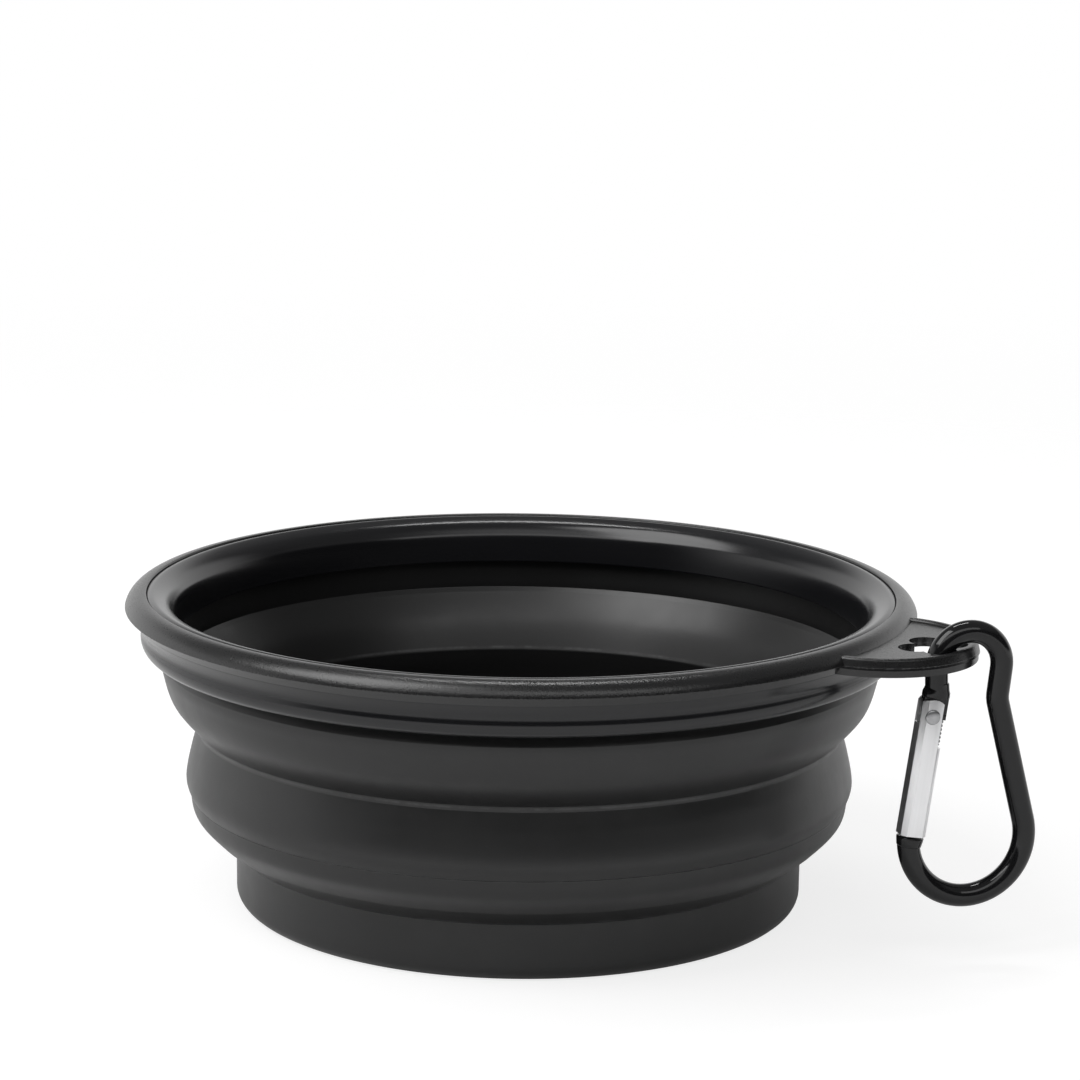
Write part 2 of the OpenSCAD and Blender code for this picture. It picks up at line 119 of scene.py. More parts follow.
class RimSizes(PropertyGroup):
    """Sizes of the rim ring, its hang tab and the rim frame."""
    rim_radius: length("Rim radius", "Outer radius of the rim ring", RIM_R)
    ring_width: length("Ring width", "Width of the rim ring seen from above", 3.5 * MM)
    ring_height: length("Ring height", "Height of the rim ring", 3.8 * MM)
    bead_radius: length("Bead radius", "Radius of the ring's round outer edge", 3 * MM)
    mould_step: length("Mould step", "Step under the bead, where the halves of the mould met", 0.28 * MM)
    lip_width: length("Lip width", "Width of the frame's lip inside the ring", 5.25 * MM)
    lip_height: length("Lip height", "Height of the lip's inner face", 7.6 * MM)
    collar_height: length("Collar height", "Height of the collar under the ring", 5.4 * MM)
    seat_inset: length("Seat inset", "How far the collar's top stands inside the rim", 1.45 * MM)
    neck_inset: length("Neck inset", "How far the collar's waist stands inside the rim", 2.65 * MM)
    roll_inset: length("Roll inset", "How far the collar's lower roll stands inside the rim", 2.5 * MM)
    foot_inset: length("Foot inset", "How far the collar's lower edge stands inside the rim", 3.4 * MM)
    tab_radius: length("Tab radius", "Radius of the hang tab's round end", 15.8 * MM)
    flange_width: length("Flange width", "Width of the flange round the tab", 1.7 * MM)
    flange_height: length("Flange height", "Height of the flange round the tab", 2.9 * MM)
    web_drop: length("Web drop", "How far the tab's plate lies below the flange", 0.5 * MM)
    web_thickness: length("Web thickness", "Thickness of the tab's plate", 1.5 * MM)
    hole_reach: length("Hole reach", "From the rim to the middle of the tab's hole", 6.85 * MM)
    lobe_radius: length("Lobe radius", "Radius of each lobe of the hole", 2.7 * MM)
    lobe_out: length("Lobe reach", "From the hole's middle to a lobe, outwards", 2.05 * MM)
    lobe_side: length("Lobe side", "From the hole's middle to a lobe, sideways", 2.5 * MM)


class SiliconeSizes(PropertyGroup):
    """Sizes of the silicone wall and base."""
    wall: length("Wall", "Thickness of the silicone wall", 2.2 * MM)
    hinge: length("Hinge", "Thickness of the thin strip under the collar", 1.1 * MM)
    hinge_height: length("Hinge height", "Height of the thin strip under the collar", 4 * MM)
    upper_crease: length("Upper crease depth", "How far the upper crease lies inside the bulge", 1.9 * MM)
    lower_crease: length("Lower crease depth", "How far the lower crease lies inside the bulge", 8.2 * MM)
    floor: length("Floor", "Thickness of the bowl's floor", 2.5 * MM)
    base_edge: length("Base edge", "Radius of the base's lower edge", 2.4 * MM)
    floor_fillet: length("Floor fillet", "Radius between the floor and the wall", 2.6 * MM)


class HookSizes(PropertyGroup):
    """Sizes of the snap hook, its gate, rivet and spring."""
    wire_radius: length("Wire radius", "Radius of the hook's wire", 1.8 * MM)
    arch_radius: length("Arch radius", "Radius of the small arch through the tab", 5.4 * MM)
    bow_radius: length("Bow radius", "Radius of the large lower bow", 9.65 * MM)
    drop: length("Drop", "From the arch's middle down to the bow's middle", 27.8 * MM)
    bow_shift: length("Bow shift", "How far the bow's middle stands outwards", 0.6 * MM)
    gate_width: length("Gate width", "Width of the gate, seen from the front", 4.1 * MM)
    cheek_width: length("Cheek width", "Width of the gate's forked cheeks", 3.3 * MM)
    gate_thickness: length("Gate thickness", "Thickness of the gate", 3.8 * MM)
    gate_top: length("Gate top", "Radius of the gate's end round the rivet", 2.7 * MM)
    slot_length: length("Slot length", "Length of the gate's slot below the rivet", 5 * MM)
    slot_back: length("Slot back", "Thickness of the wall behind the slot", 0.8 * MM)
    tongue: length("Tongue", "Thickness of the hook's tongue in the gate", 1.5 * MM)
    eye_radius: length("Eye radius", "Radius of the tongue's eye round the rivet", 1.25 * MM)
    shank_radius: length("Shank radius", "Radius of the rivet's shank", 0.7 * MM)
    rivet_radius: length("Rivet radius", "Radius of the rivet's heads", 1.2 * MM)
    rivet_head: length("Rivet head", "Height of the rivet's heads", 0.5 * MM)
    spring_radius: length("Spring radius", "Outer radius of the spring", 0.75 * MM)
    spring_wire: length("Spring wire", "Radius of the spring's wire", 0.16 * MM)


class Finishes(PropertyGroup):
    """Colours of the bowl's materials."""
    ring_black: tint("Ring black", "Colour of the textured ring and tab", (0.005, 0.005, 0.0053))
    frame_black: tint("Frame black", "Colour of the smooth rim frame", (0.0045, 0.0046, 0.0056))
    silicone_grey: tint("Silicone grey", "Colour of the silicone", (0.004, 0.004, 0.0042))
    # Besides fine dust, this grey paints the highlight lines on the silicone's creases and parting line and
    # the glint along the ring's mould line
    dust_and_highlight_grey: tint("Dust grey", "Colour of the fine dust and rubbed edges", (0.045, 0.045, 0.046))
    hook_black: tint("Hook black", "Colour of the lacquer on the hook", (0.006, 0.006, 0.0065))
    aluminium: tint("Aluminium", "Colour of the gate", (0.95, 0.95, 0.96))
    rivet_steel: tint("Rivet steel", "Colour of the rivet", (0.5, 0.5, 0.51))
    spring_steel: tint("Spring steel", "Colour of the spring", (0.46, 0.46, 0.47))
    floor_white: tint("Floor white", "Colour of the floor", (0.9, 0.9, 0.9))


# Outlines

def smooth(points, steps):
    """Points of a smooth curve through all the given points."""
    points = [Vector(p) for p in points]
    curve = []
    for i in range(len(points) - 1):
        a, b, c, d = (points[min(max(i + k, 0), len(points) - 1)] for k in (-1, 0, 1, 2))
        for j in range(steps):
            t = j / steps
            curve.append((2 * b + (c - a) * t + (2 * a - 5 * b + 4 * c - d) * t * t
                          + (3 * b - a - 3 * c + d) * t ** 3) / 2)
    return [tuple(p) for p in curve + [points[-1]]]


def arc(centre, radius, start, end, steps):
    """Points of an arc, with its angles in degrees."""
    turns = [math.radians(start + (end - start) * i / steps) for i in range(steps + 1)]
    return [(centre[0] + radius * math.cos(t), centre[1] + radius * math.sin(t)) for t in turns]


def between(a, b, share):
    """A value at a share of the way from a to b."""
    return a + (b - a) * share


# Modelling

MERGE, FINE_MERGE = 1e-6, 2e-7  # points closer than this become one, on plain meshes and on fine edges


def begin(name, add, **settings):
    """Adds a primitive by itself, names it and opens it for editing, with all of it selected."""
    bpy.ops.object.select_all(action="DESELECT")
    add(**settings)
    piece = bpy.context.active_object
    piece.name = piece.data.name = name
    bpy.ops.object.mode_set(mode="EDIT")
    bpy.ops.mesh.select_all(action="SELECT")
    return piece


def pick(piece, kind, test):
    """Selects the vertices or edges of the open mesh that pass a test."""
    bpy.ops.mesh.select_mode(type={"verts": "VERT", "edges": "EDGE"}[kind])
    bpy.ops.mesh.select_all(action="DESELECT")
    mesh = bmesh.from_edit_mesh(piece.data)
    for element in getattr(mesh, kind):
        element.select_set(test(element))
    bmesh.update_edit_mesh(piece.data)


def close(doubles=MERGE):
    """Merges doubles, turns the faces outwards and closes the mesh for editing."""
    bpy.ops.mesh.select_mode(type="VERT")
    bpy.ops.mesh.select_all(action="SELECT")
    bpy.ops.mesh.remove_doubles(threshold=doubles)
    bpy.ops.mesh.normals_make_consistent(inside=False)
    bpy.ops.object.mode_set(mode="OBJECT")


def only(piece):
    """Selects one piece and makes it the active one."""
    bpy.ops.object.select_all(action="DESELECT")
    piece.select_set(True)
    bpy.context.view_layer.objects.active = piece


def settle(piece, place=None):
    """Moves a piece to its place and puts that place into its mesh."""
    only(piece)
    if place is not None:
        piece.matrix_world = place @ piece.matrix_world
        bpy.context.view_layer.update()
    bpy.ops.object.transform_apply(location=True, rotation=True, scale=True)
    return piece


def shaped(piece, kind, **settings):
    """Applies one modifier to a piece."""
    only(piece)
    bpy.ops.object.modifier_add(type=kind)
    modifier = piece.modifiers[-1]
    for key, value in settings.items():
        setattr(modifier, key, value)
    bpy.ops.object.modifier_apply(modifier=modifier.name)


def cut(piece, tool, operation="DIFFERENCE"):
    """Cuts a piece with a tool, which is then thrown away."""
    shaped(piece, "BOOLEAN", operation=operation, object=tool, solver="EXACT")
    mesh = tool.data
    bpy.data.objects.remove(tool)
    bpy.data.meshes.remove(mesh)
    if not piece.data.polygons:
        raise RuntimeError(f"nothing is left of {piece.name} after a cut")


def joined(name, *pieces):
    """Joins pieces into one of the given name."""
    only(pieces[0])
    for piece in pieces:
        piece.select_set(True)
    bpy.ops.object.join()
    pieces[0].name = pieces[0].data.name = name
    return pieces[0]


def edged(piece, width, segments=2, angle=35):
    """Rounds the sharp edges of a piece and merges what that leaves without size."""
    shaped(piece, "BEVEL", width=width, segments=segments, limit_method="ANGLE",
           angle_limit=math.radians(angle), use_clamp_overlap=True)
    bpy.ops.object.mode_set(mode="EDIT")
    close(FINE_MERGE)


def block(name, low, high):
    """A box between two corners, closed for editing."""
    low, high = Vector(low), Vector(high)
    piece = begin(name, bpy.ops.mesh.primitive_cube_add, size=1, location=(low + high) / 2)
    bpy.ops.transform.resize(value=high - low, center_override=(low + high) / 2)
    close()
    return settle(piece)


def drill(name, radius, depth, middle):
    """A round cutting tool along z, closed for editing."""
    piece = begin(name, bpy.ops.mesh.primitive_cylinder_add, vertices=72, radius=radius, depth=depth,
                  location=middle)
    close()
    return settle(piece)


def turned(name, outline, centre=(0, 0), steps=240):
    """Draws an outline of radius and height from one point, and spins it into a closed ring or plate."""
    start = Vector((centre[0] + outline[0][0], centre[1], outline[0][1]))
    piece = begin(name, bpy.ops.mesh.primitive_plane_add, size=MM, location=start)
    bpy.ops.mesh.merge(type="CENTER")
    for a, b in zip(outline, outline[1:]):
        if a != b:
            bpy.ops.mesh.extrude_region_move(
                TRANSFORM_OT_translate={"value": (b[0] - a[0], 0, b[1] - a[1])})
    bpy.ops.mesh.select_all(action="SELECT")
    bpy.ops.mesh.spin(steps=steps, angle=math.tau, center=(centre[0], centre[1], 0), axis=(0, 0, 1))
    close()
    return settle(piece)


def marked(piece):
    """Keeps each vertex's height as an attribute, so that the painted highlight lines stay in place when the
    wall folds.
    """
    heights = piece.data.attributes.new(HEIGHT_MARK, "FLOAT", "POINT")
    heights.data.foreach_set("value", [vertex.co.z for vertex in piece.data.vertices])


MATERIALS = {}  # the finishes, by the record's slots


def finished(piece, body, slot, *nodes, angle=38):
    """Smooths a piece, gives it its material and ties it to the frame."""
    only(piece)
    bpy.ops.object.shade_smooth_by_angle(angle=math.radians(angle))
    piece.data.materials.clear()
    piece.data.materials.append(MATERIALS[slot])
    if body:
        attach(piece, body)
    if nodes:
        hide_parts(*nodes)
    return piece


# Finishes

class Value:
    """A shader value: sums, differences and products with it add their Math nodes."""

    def __init__(self, finish, socket):
        self.finish = finish
        self.socket = socket

    def worked(self, operation, *terms):
        """A Math node on values and numbers."""
        return self.finish.node("ShaderNodeMath", {"operation": operation}, dict(enumerate(terms)))

    def __add__(self, other):
        return self.worked("ADD", self, other)

    __radd__ = __add__

    def __sub__(self, other):
        return self.worked("SUBTRACT", self, other)

    def __rsub__(self, other):
        return self.worked("SUBTRACT", other, self)

    def __mul__(self, other):
        return self.worked("MULTIPLY", self, other)

    __rmul__ = __mul__

    def __abs__(self):
        return self.worked("ABSOLUTE", self)

    def or_more(self, other):
        """The larger of this value and another."""
        return self.worked("MAXIMUM", self, other)


class Finish:
    """A material, or the world, with its nodes."""

    def __init__(self, name, kind="materials", shader="Principled BSDF"):
        self.material = getattr(bpy.data, kind).new(name)
        self.material.use_nodes = True
        self.tree = self.material.node_tree
        self.shader = self.tree.nodes[shader]
        self.place = self.node("ShaderNodeTexCoord", {}, {}, "Object")

    def node(self, kind, settings, sockets, out=0):
        """Adds a node with its settings, then the values or links of its sockets."""
        made = self.tree.nodes.new(kind)
        for key, value in settings.items():
            if key == "stops":
                for element, stop in zip(made.color_ramp.elements, value):
                    element.position = stop[0]
                    element.color = (stop[1], stop[1], stop[1], 1)
            else:
                setattr(made, key, value)
        for key, value in sockets.items():
            self.set(made.inputs[key], value)
        return Value(self, made.outputs[out])

    def set(self, socket, value):
        """Gives a socket its value or its link."""
        if isinstance(value, Value):
            self.tree.links.new(value.socket, socket)
        elif socket.type == "RGBA" and len(value) == 3:
            socket.default_value = (*value, 1)
        else:
            socket.default_value = value

    def ray(self, kind):
        """1 on rays of one kind, such as Camera or Glossy, and 0 on all others."""
        return self.node("ShaderNodeLightPath", {}, {}, f"Is {kind} Ray")

    def grain(self, per_metre, detail=2.0, rough=0.5, place=None):
        """Fine noise of a given number of grains to the metre."""
        return self.node("ShaderNodeTexNoise", {}, {
            "Vector": place or self.place, "Scale": per_metre, "Detail": detail, "Roughness": rough})

    def ramp(self, value, *stops):
        """A grey ramp between two stops, each a place and a level."""
        return self.node("ShaderNodeValToRGB", {"stops": stops}, {"Fac": value})

    def mixed(self, share, first, second):
        """A colour between two others."""
        return self.node("ShaderNodeMix", {"data_type": "RGBA"}, {0: share, 6: first, 7: second}, 2)

    def falling(self, value, low, high):
        """A smooth share that falls from 1 to 0 between two values."""
        return self.node("ShaderNodeMapRange", {"interpolation_type": "SMOOTHSTEP"}, {
            "Value": value, "From Min": low, "From Max": high, "To Min": 1.0, "To Max": 0.0})

    def line(self, value, at, width):
        """A soft line at one value."""
        return self.falling(abs(value - at), 0.0, width)

    def bump(self, height, depth, strength):
        """Relief of a given depth."""
        return self.node("ShaderNodeBump", {}, {"Strength": strength, "Distance": depth, "Height": height})

    def done(self, **sockets):
        """Sets the shader's sockets and gives the material."""
        named = {socket.name.lower().replace(" ", "_"): socket for socket in self.shader.inputs}
        for key, value in sockets.items():
            self.set(named[key], value)
        return self.material

    def shows(self, shader, output="Material Output"):
        """Links a shader to the output node and gives the material."""
        self.set(self.tree.nodes[output].inputs["Surface"], shader)
        return self.material


def lighter(colour, share):
    """A colour with each part raised by a share, or lowered by a negative one."""
    return tuple(min(1, part * (1 + share)) for part in colour)


def ring_plastic(colours):
    """Black moulded plastic, finely textured above the mould line and smoother below it, with a painted glint
    along the mould line.
    """
    finish = Finish("ring_plastic")
    height = finish.node("ShaderNodeSeparateXYZ", {}, {0: finish.place}, "Z")
    border, mould_glint_width = 0.05 * MM, 0.22 * MM
    upper = 1 - finish.falling(height, MOULD_LINE - border, MOULD_LINE + border)
    pits = finish.grain(per_metre=3000, rough=0.6)
    cloud = finish.grain(per_metre=60, detail=3.0)
    broken = finish.ramp(finish.grain(per_metre=1900), (0.5, 0.0), (0.62, 1.0))
    # Painted glint: a lighter broken line along the mould line, mixed towards the dust grey
    mould_glint = finish.line(height, MOULD_LINE, mould_glint_width) * broken
    tone = finish.mixed(cloud, colours.ring_black, lighter(colours.ring_black, 0.35))
    return finish.done(
        base_color=finish.mixed(mould_glint, tone, colours.dust_and_highlight_grey),
        roughness=0.21 + 0.05 * cloud + 0.1 * (upper * pits),
        specular_ior_level=0.6,
        normal=finish.bump(pits * upper, depth=0.04 * MM, strength=0.8))


def frame_plastic(colours):
    """Smooth satin black plastic with faint flow marks."""
    finish = Finish("frame_plastic")
    cloud = finish.grain(per_metre=45, detail=3.0)
    skin = finish.grain(per_metre=1800, detail=1.0)
    return finish.done(
        base_color=finish.mixed(cloud, colours.frame_black, lighter(colours.frame_black, 0.4)),
        roughness=0.17 + 0.08 * cloud,
        normal=finish.bump(skin, depth=0.008 * MM, strength=0.3))


def silicone(colours):
    """Matt silicone with faint handling marks, fine dust and painted highlight lines along its creases and
    parting line.
    """
    finish = Finish("silicone")
    height = finish.node("ShaderNodeAttribute", {"attribute_name": HEIGHT_MARK}, {}, "Fac")
    cloud = finish.grain(per_metre=38, detail=4.0, rough=0.6)
    smear = finish.ramp(finish.grain(per_metre=120, detail=3.0, rough=0.65), (0.45, 0.0), (0.75, 1.0))
    specks = finish.ramp(finish.grain(per_metre=2400, detail=1.0), (0.66, 0.0), (0.78, 1.0))
    skin = finish.grain(per_metre=1500)
    broken = finish.ramp(finish.grain(per_metre=260, detail=3.0, rough=0.7), (0.4, 0.15), (0.62, 1.0))
    # Painted highlight: lighter lines along the waist crease, the base crease and the parting line, broken by
    # noise
    painted_highlight = (finish.line(height, WAIST + 0.5 * MM, 0.35 * MM)
              + finish.line(height, BASE_TOP + 0.3 * MM, 0.3 * MM)
              + 0.6 * finish.line(height, PARTING, 0.25 * MM))
    # Dust, handling marks and the painted highlight lines, all mixed towards the dust grey
    dust_and_highlights = 0.03 * cloud + 0.04 * smear + 0.08 * specks + 0.9 * (painted_highlight * broken)
    return finish.done(
        base_color=finish.mixed(dust_and_highlights, colours.silicone_grey, colours.dust_and_highlight_grey),
        roughness=0.33 + 0.1 * cloud - 0.05 * smear,
        specular_ior_level=0.58,
        normal=finish.bump(skin, depth=0.015 * MM, strength=0.35))


def hook_lacquer(colours):
    """Glossy black lacquer over round wire."""
    finish = Finish("hook_metal")
    cloud = finish.grain(per_metre=220, detail=3.0)
    peel = finish.grain(per_metre=900, detail=1.0)
    return finish.done(
        base_color=finish.mixed(cloud, colours.hook_black, lighter(colours.hook_black, 0.6)),
        roughness=0.05 + 0.06 * cloud,
        specular_ior_level=0.42,
        normal=finish.bump(peel, depth=0.01 * MM, strength=0.25))


def brushed_aluminium(colours, turn):
    """Bright aluminium brushed along the gate."""
    finish = Finish("gate_metal")
    along = finish.node("ShaderNodeMapping", {"vector_type": "TEXTURE"}, {
        "Vector": finish.place, "Rotation": turn, "Scale": (1, 40, 1)})
    lines = finish.grain(per_metre=2600, rough=0.6, place=along)
    cloud = finish.grain(per_metre=300)
    shade = lighter(colours.aluminium, -0.14)
    return finish.done(
        base_color=finish.mixed(0.5 * lines + 0.2 * cloud, colours.aluminium, shade),
        metallic=0.95,
        roughness=0.24 + 0.14 * lines,
        normal=finish.bump(lines, depth=0.01 * MM, strength=0.3))


def bare_steel(name, colour, rough):
    """Plain steel with small scuffs."""
    finish = Finish(name)
    scuffs = finish.grain(per_metre=1500, detail=3.0)
    return finish.done(
        base_color=finish.mixed(scuffs, colour, lighter(colour, -0.3)),
        metallic=1.0,
        roughness=rough + 0.15 * scuffs)


class BOWL_OT_finishes(Operator):
    """Mix the finishes of all the pieces."""
    bl_idname = "bowl.finishes"
    bl_label = "Finishes"

    def execute(self, context):
        colours = context.scene.bowl_finishes
        turn = HookPlan(context.scene.bowl_hook).gate().to_euler()
        MATERIALS.update(
            ring_plastic=ring_plastic(colours),
            frame_plastic=frame_plastic(colours),
            silicone=silicone(colours),
            hook_metal=hook_lacquer(colours),
            gate_metal=brushed_aluminium(colours, turn),
            rivet_metal=bare_steel("rivet_metal", colours.rivet_steel, 0.25),
            spring_wire=bare_steel("spring_wire", colours.spring_steel, 0.3))
        return {"FINISHED"}


# Rim and silicone

# The lip's curve from the ring inwards: shares of the lip's width from its inner face, and of its height down
LIP_CURVE = ((1.0, 0.045), (0.8, 0.02), (0.43, 0.13), (0.22, 0.32), (0.12, 0.5), (0.0, 1.0))
CREASE = 0.6  # thickness of the silicone at its creases, as a share of the wall


class BOWL_OT_rim_ring(Operator):
    """Model the textured ring that holds the rim together."""
    bl_idname = "bowl.rim_ring"
    bl_label = "Rim ring"

    def execute(self, context):
        rim = context.scene.bowl_rim
        radius = rim.bead_radius
        inner = rim.rim_radius - rim.ring_width
        seat = TOP - rim.ring_height
        bead_start = 13
        bead_at = (rim.rim_radius - radius * math.cos(math.radians(bead_start)), TOP - radius)
        bead = arc(bead_at, radius, bead_start, 90, steps=24)
        under_bead = (bead[0][0] - rim.mould_step, bead[0][1])
        chamfer = 0.08 * rim.ring_width
        outline = [(inner, seat), (rim.rim_radius - rim.seat_inset, seat), under_bead] + bead
        outline += arc((inner + chamfer, TOP - chamfer), chamfer, 90, 180, steps=5)
        outline += [(inner, seat)]
        ring = turned("rim_ring_bead", outline)
        finished(ring, "rim", "ring_plastic", "rim_ring")
        return {"FINISHED"}


class BOWL_OT_hang_tab(Operator):
    """Model the hang tab with its flange and its four-lobed hole."""
    bl_idname = "bowl.hang_tab"
    bl_label = "Hang tab"

    def execute(self, context):
        rim = context.scene.bowl_rim
        outer, width = rim.tab_radius, rim.flange_width
        inner = outer - width
        low, high = TAB_LOW, TAB_LOW + rim.flange_height
        web_high = high - rim.web_drop
        web_low = web_high - rim.web_thickness
        step, step_in = low + 0.38 * rim.flange_height, outer - 0.12 * width
        curve, draft, flange_start = 0.32 * width, 0.2 * width, 14
        outline = [(0, web_low), (inner, web_low), (inner, low),
                   (step_in, low), (step_in, step), (outer, step)]
        outline += arc((outer - draft - curve, high - curve), curve, flange_start, 90, steps=8)
        outline += arc((inner + curve, high - curve), curve, 90, 180, steps=8)
        outline += [(inner, web_high), (0, web_high)]
        tab = turned("hang_tab", outline, (TAB_TIP - outer, 0), steps=160)
        root = rim.rim_radius - rim.ring_width / 2
        through = 4 * rim.flange_height
        cut(tab, drill("root_tool", root, through, (0, 0, low)))
        middle = rim.rim_radius + rim.hole_reach
        lobes = [(0, 0)] + [(x * rim.lobe_out, y * rim.lobe_side) for x in (-1, 1) for y in (-1, 1)]
        for x, y in lobes:
            cut(tab, drill("lobe_tool", rim.lobe_radius, through, (middle + x, y, low)))
        edged(tab, width=0.14 * MM, angle=50)
        finished(tab, "rim", "ring_plastic")
        return {"FINISHED"}


class BOWL_OT_rim_frame(Operator):
    """Model the smooth frame with its lip and its collar."""
    bl_idname = "bowl.rim_frame"
    bl_label = "Rim frame"

    def execute(self, context):
        rim = context.scene.bowl_rim
        soft = context.scene.bowl_silicone
        radius, tall = rim.rim_radius, rim.collar_height
        seat = TOP - rim.ring_height
        seam, foot_round, groove_gap = 0.12 * MM, 0.5 * MM, 0.1 * MM
        lip_out = radius - rim.ring_width - seam
        lip_in = lip_out - rim.lip_width
        groove_out, groove_in = BAND_R + groove_gap, BAND_R - soft.hinge - groove_gap
        groove_top = COLLAR + 0.6 * tall
        under_roll = between(rim.roll_inset, rim.foot_inset, 0.35)
        collar = ((rim.foot_inset, 0.03), (under_roll, 0.15), (rim.roll_inset, 0.35), (rim.neck_inset, 0.63))

        outline = [(groove_out, COLLAR), (radius - rim.foot_inset - foot_round, COLLAR)]
        outline += smooth([(radius - inset, COLLAR + share * tall) for inset, share in collar]
                          + [(radius - rim.seat_inset, seat)], steps=9)
        outline += [(lip_out, seat)]
        outline += smooth([(lip_in + across * rim.lip_width, TOP - down * rim.lip_height)
                           for across, down in LIP_CURVE], steps=10)
        outline += [(groove_in, TOP - rim.lip_height), (groove_in, groove_top), (groove_out, groove_top)]
        outline += [outline[0]]
        piece = turned("rim_frame_lip", outline)
        edged(piece, width=0.12 * MM, angle=45)
        finished(piece, "rim", "frame_plastic", "rim_frame")
        return {"FINISHED"}


def parting_point(soft):
    """Where the outer faces of the upper and the lower silicone meet."""
    return BULGE_R - 0.32 * soft.wall, PARTING


def upper_wall(rim, soft):
    """Outline of the silicone from the collar down to the parting line, and back up inside."""
    wall, hinge = soft.wall, soft.hinge
    hidden = COLLAR + 0.3 * rim.collar_height
    band_top = COLLAR - soft.hinge_height
    edge = (BAND_R, COLLAR - 0.52 * soft.hinge_height)
    waist_r = BULGE_R - soft.upper_crease
    waist, waist_in = (waist_r, WAIST), (waist_r - CREASE * wall, WAIST)
    shoulder = (between(waist_r, BAND_R, 0.7), between(WAIST, COLLAR, 0.38))
    land = (waist_r + 0.1 * wall, WAIST + 0.4 * wall)
    flank = (waist_r + 0.52 * soft.upper_crease, between(PARTING, WAIST, 0.69))
    bulge = (BULGE_R, between(PARTING, WAIST, 0.24))
    parting = parting_point(soft)
    strip_out, strip_in = BAND_R - 0.6 * hinge, BAND_R - 1.5 * hinge

    outline = [(BAND_R - hinge, hidden), (strip_out, hidden), (strip_out, COLLAR),
               (BAND_R - 0.8 * hinge, between(COLLAR, edge[1], 0.35))]
    outline += smooth([edge, (BAND_R - 0.08 * wall, band_top), shoulder, land], steps=12) + [waist]
    outline += smooth([waist, flank, bulge, parting], steps=12)
    outline += smooth([(r - wall, z) for r, z in (parting, bulge, flank)] + [waist_in], steps=12)
    outline += smooth([waist_in, (shoulder[0] - 1.45 * wall, shoulder[1]),
                       (BAND_R - wall, band_top)], steps=14)
    outline += [(strip_in, band_top + 0.3 * wall), (strip_in, edge[1]),
                (BAND_R - hinge, COLLAR), (BAND_R - hinge, hidden)]
    return outline


def lower_wall(soft):
    """Outline of the silicone from under the base up to the parting line, and back inside to the floor."""
    wall, foot, fillet = soft.wall, soft.base_edge, soft.floor_fillet
    base_r = BULGE_R - soft.lower_crease
    belly = base_r - 0.02 * wall
    base, base_in = (base_r, BASE_TOP), (base_r - CREASE * wall, BASE_TOP)
    parting = parting_point(soft)
    run = parting[0] - base_r
    low_cone = (parting[0] - 0.48 * run, between(BASE_TOP, PARTING, 0.33))
    high_cone = (parting[0] - 0.09 * run, between(BASE_TOP, PARTING, 0.67))
    lift = 0.6 * wall

    outline = [(0, 0)] + arc((belly - foot, foot), foot, -90, 0, steps=8)
    outline += smooth([(belly, foot), (belly, 0.5 * BASE_TOP), base], steps=6)
    outline += smooth([base, between(Vector(base), Vector(low_cone), 0.5), low_cone], steps=4)
    outline += smooth([low_cone, high_cone, parting], steps=12)[1:]
    outline += smooth([(parting[0] - wall, PARTING)]
                      + [(r - lift, z + lift) for r, z in (high_cone, low_cone)] + [base_in], steps=12)
    outline += arc((belly - wall - fillet, soft.floor + fillet), fillet, 0, -90, steps=8)
    outline += [(0, soft.floor)]
    return outline


def soft_wall(name, outline, *nodes):
    """Spins a silicone wall, rounds its creases and marks its heights."""
    piece = turned(name, outline)
    edged(piece, width=0.22 * MM, segments=3, angle=28)
    marked(piece)
    return finished(piece, None, "silicone", *nodes, angle=50)


class BOWL_OT_silicone(Operator):
    """Model the silicone wall and base, as an upper and a lower piece that meet at the parting line."""
    bl_idname = "bowl.silicone"
    bl_label = "Silicone bowl"

    def execute(self, context):
        rim = context.scene.bowl_rim
        soft = context.scene.bowl_silicone
        upper = soft_wall("silicone_upper", upper_wall(rim, soft), "upper_fold", "middle_band")
        between(WAIST, COLLAR, 0.63)
        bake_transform(upper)
        lower = soft_wall("silicone_lower", lower_wall(soft), "lower_fold", "base_cup")
        between(BASE_TOP, PARTING, 0.8)
        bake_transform(lower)
        return {"FINISHED"}


# Snap hook, drawn flat with x outwards and y up from the middle of its arch

PLAY = 0.15 * MM  # room between pieces that move past each other
# Rings of the shoulder from the top down: shares of its height and of its widening
SHOULDER_RINGS = ((0.85, 0.5), (0.55, 0.92), (0.2, 1.0), (0.0, 0.96))


def hung():
    """Takes the hook's flat drawing to where it hangs."""
    across = UP.cross(HOOK_FACE)
    return Matrix.Translation(ARCH_AT) @ Matrix((across, UP, HOOK_FACE)).transposed().to_4x4()


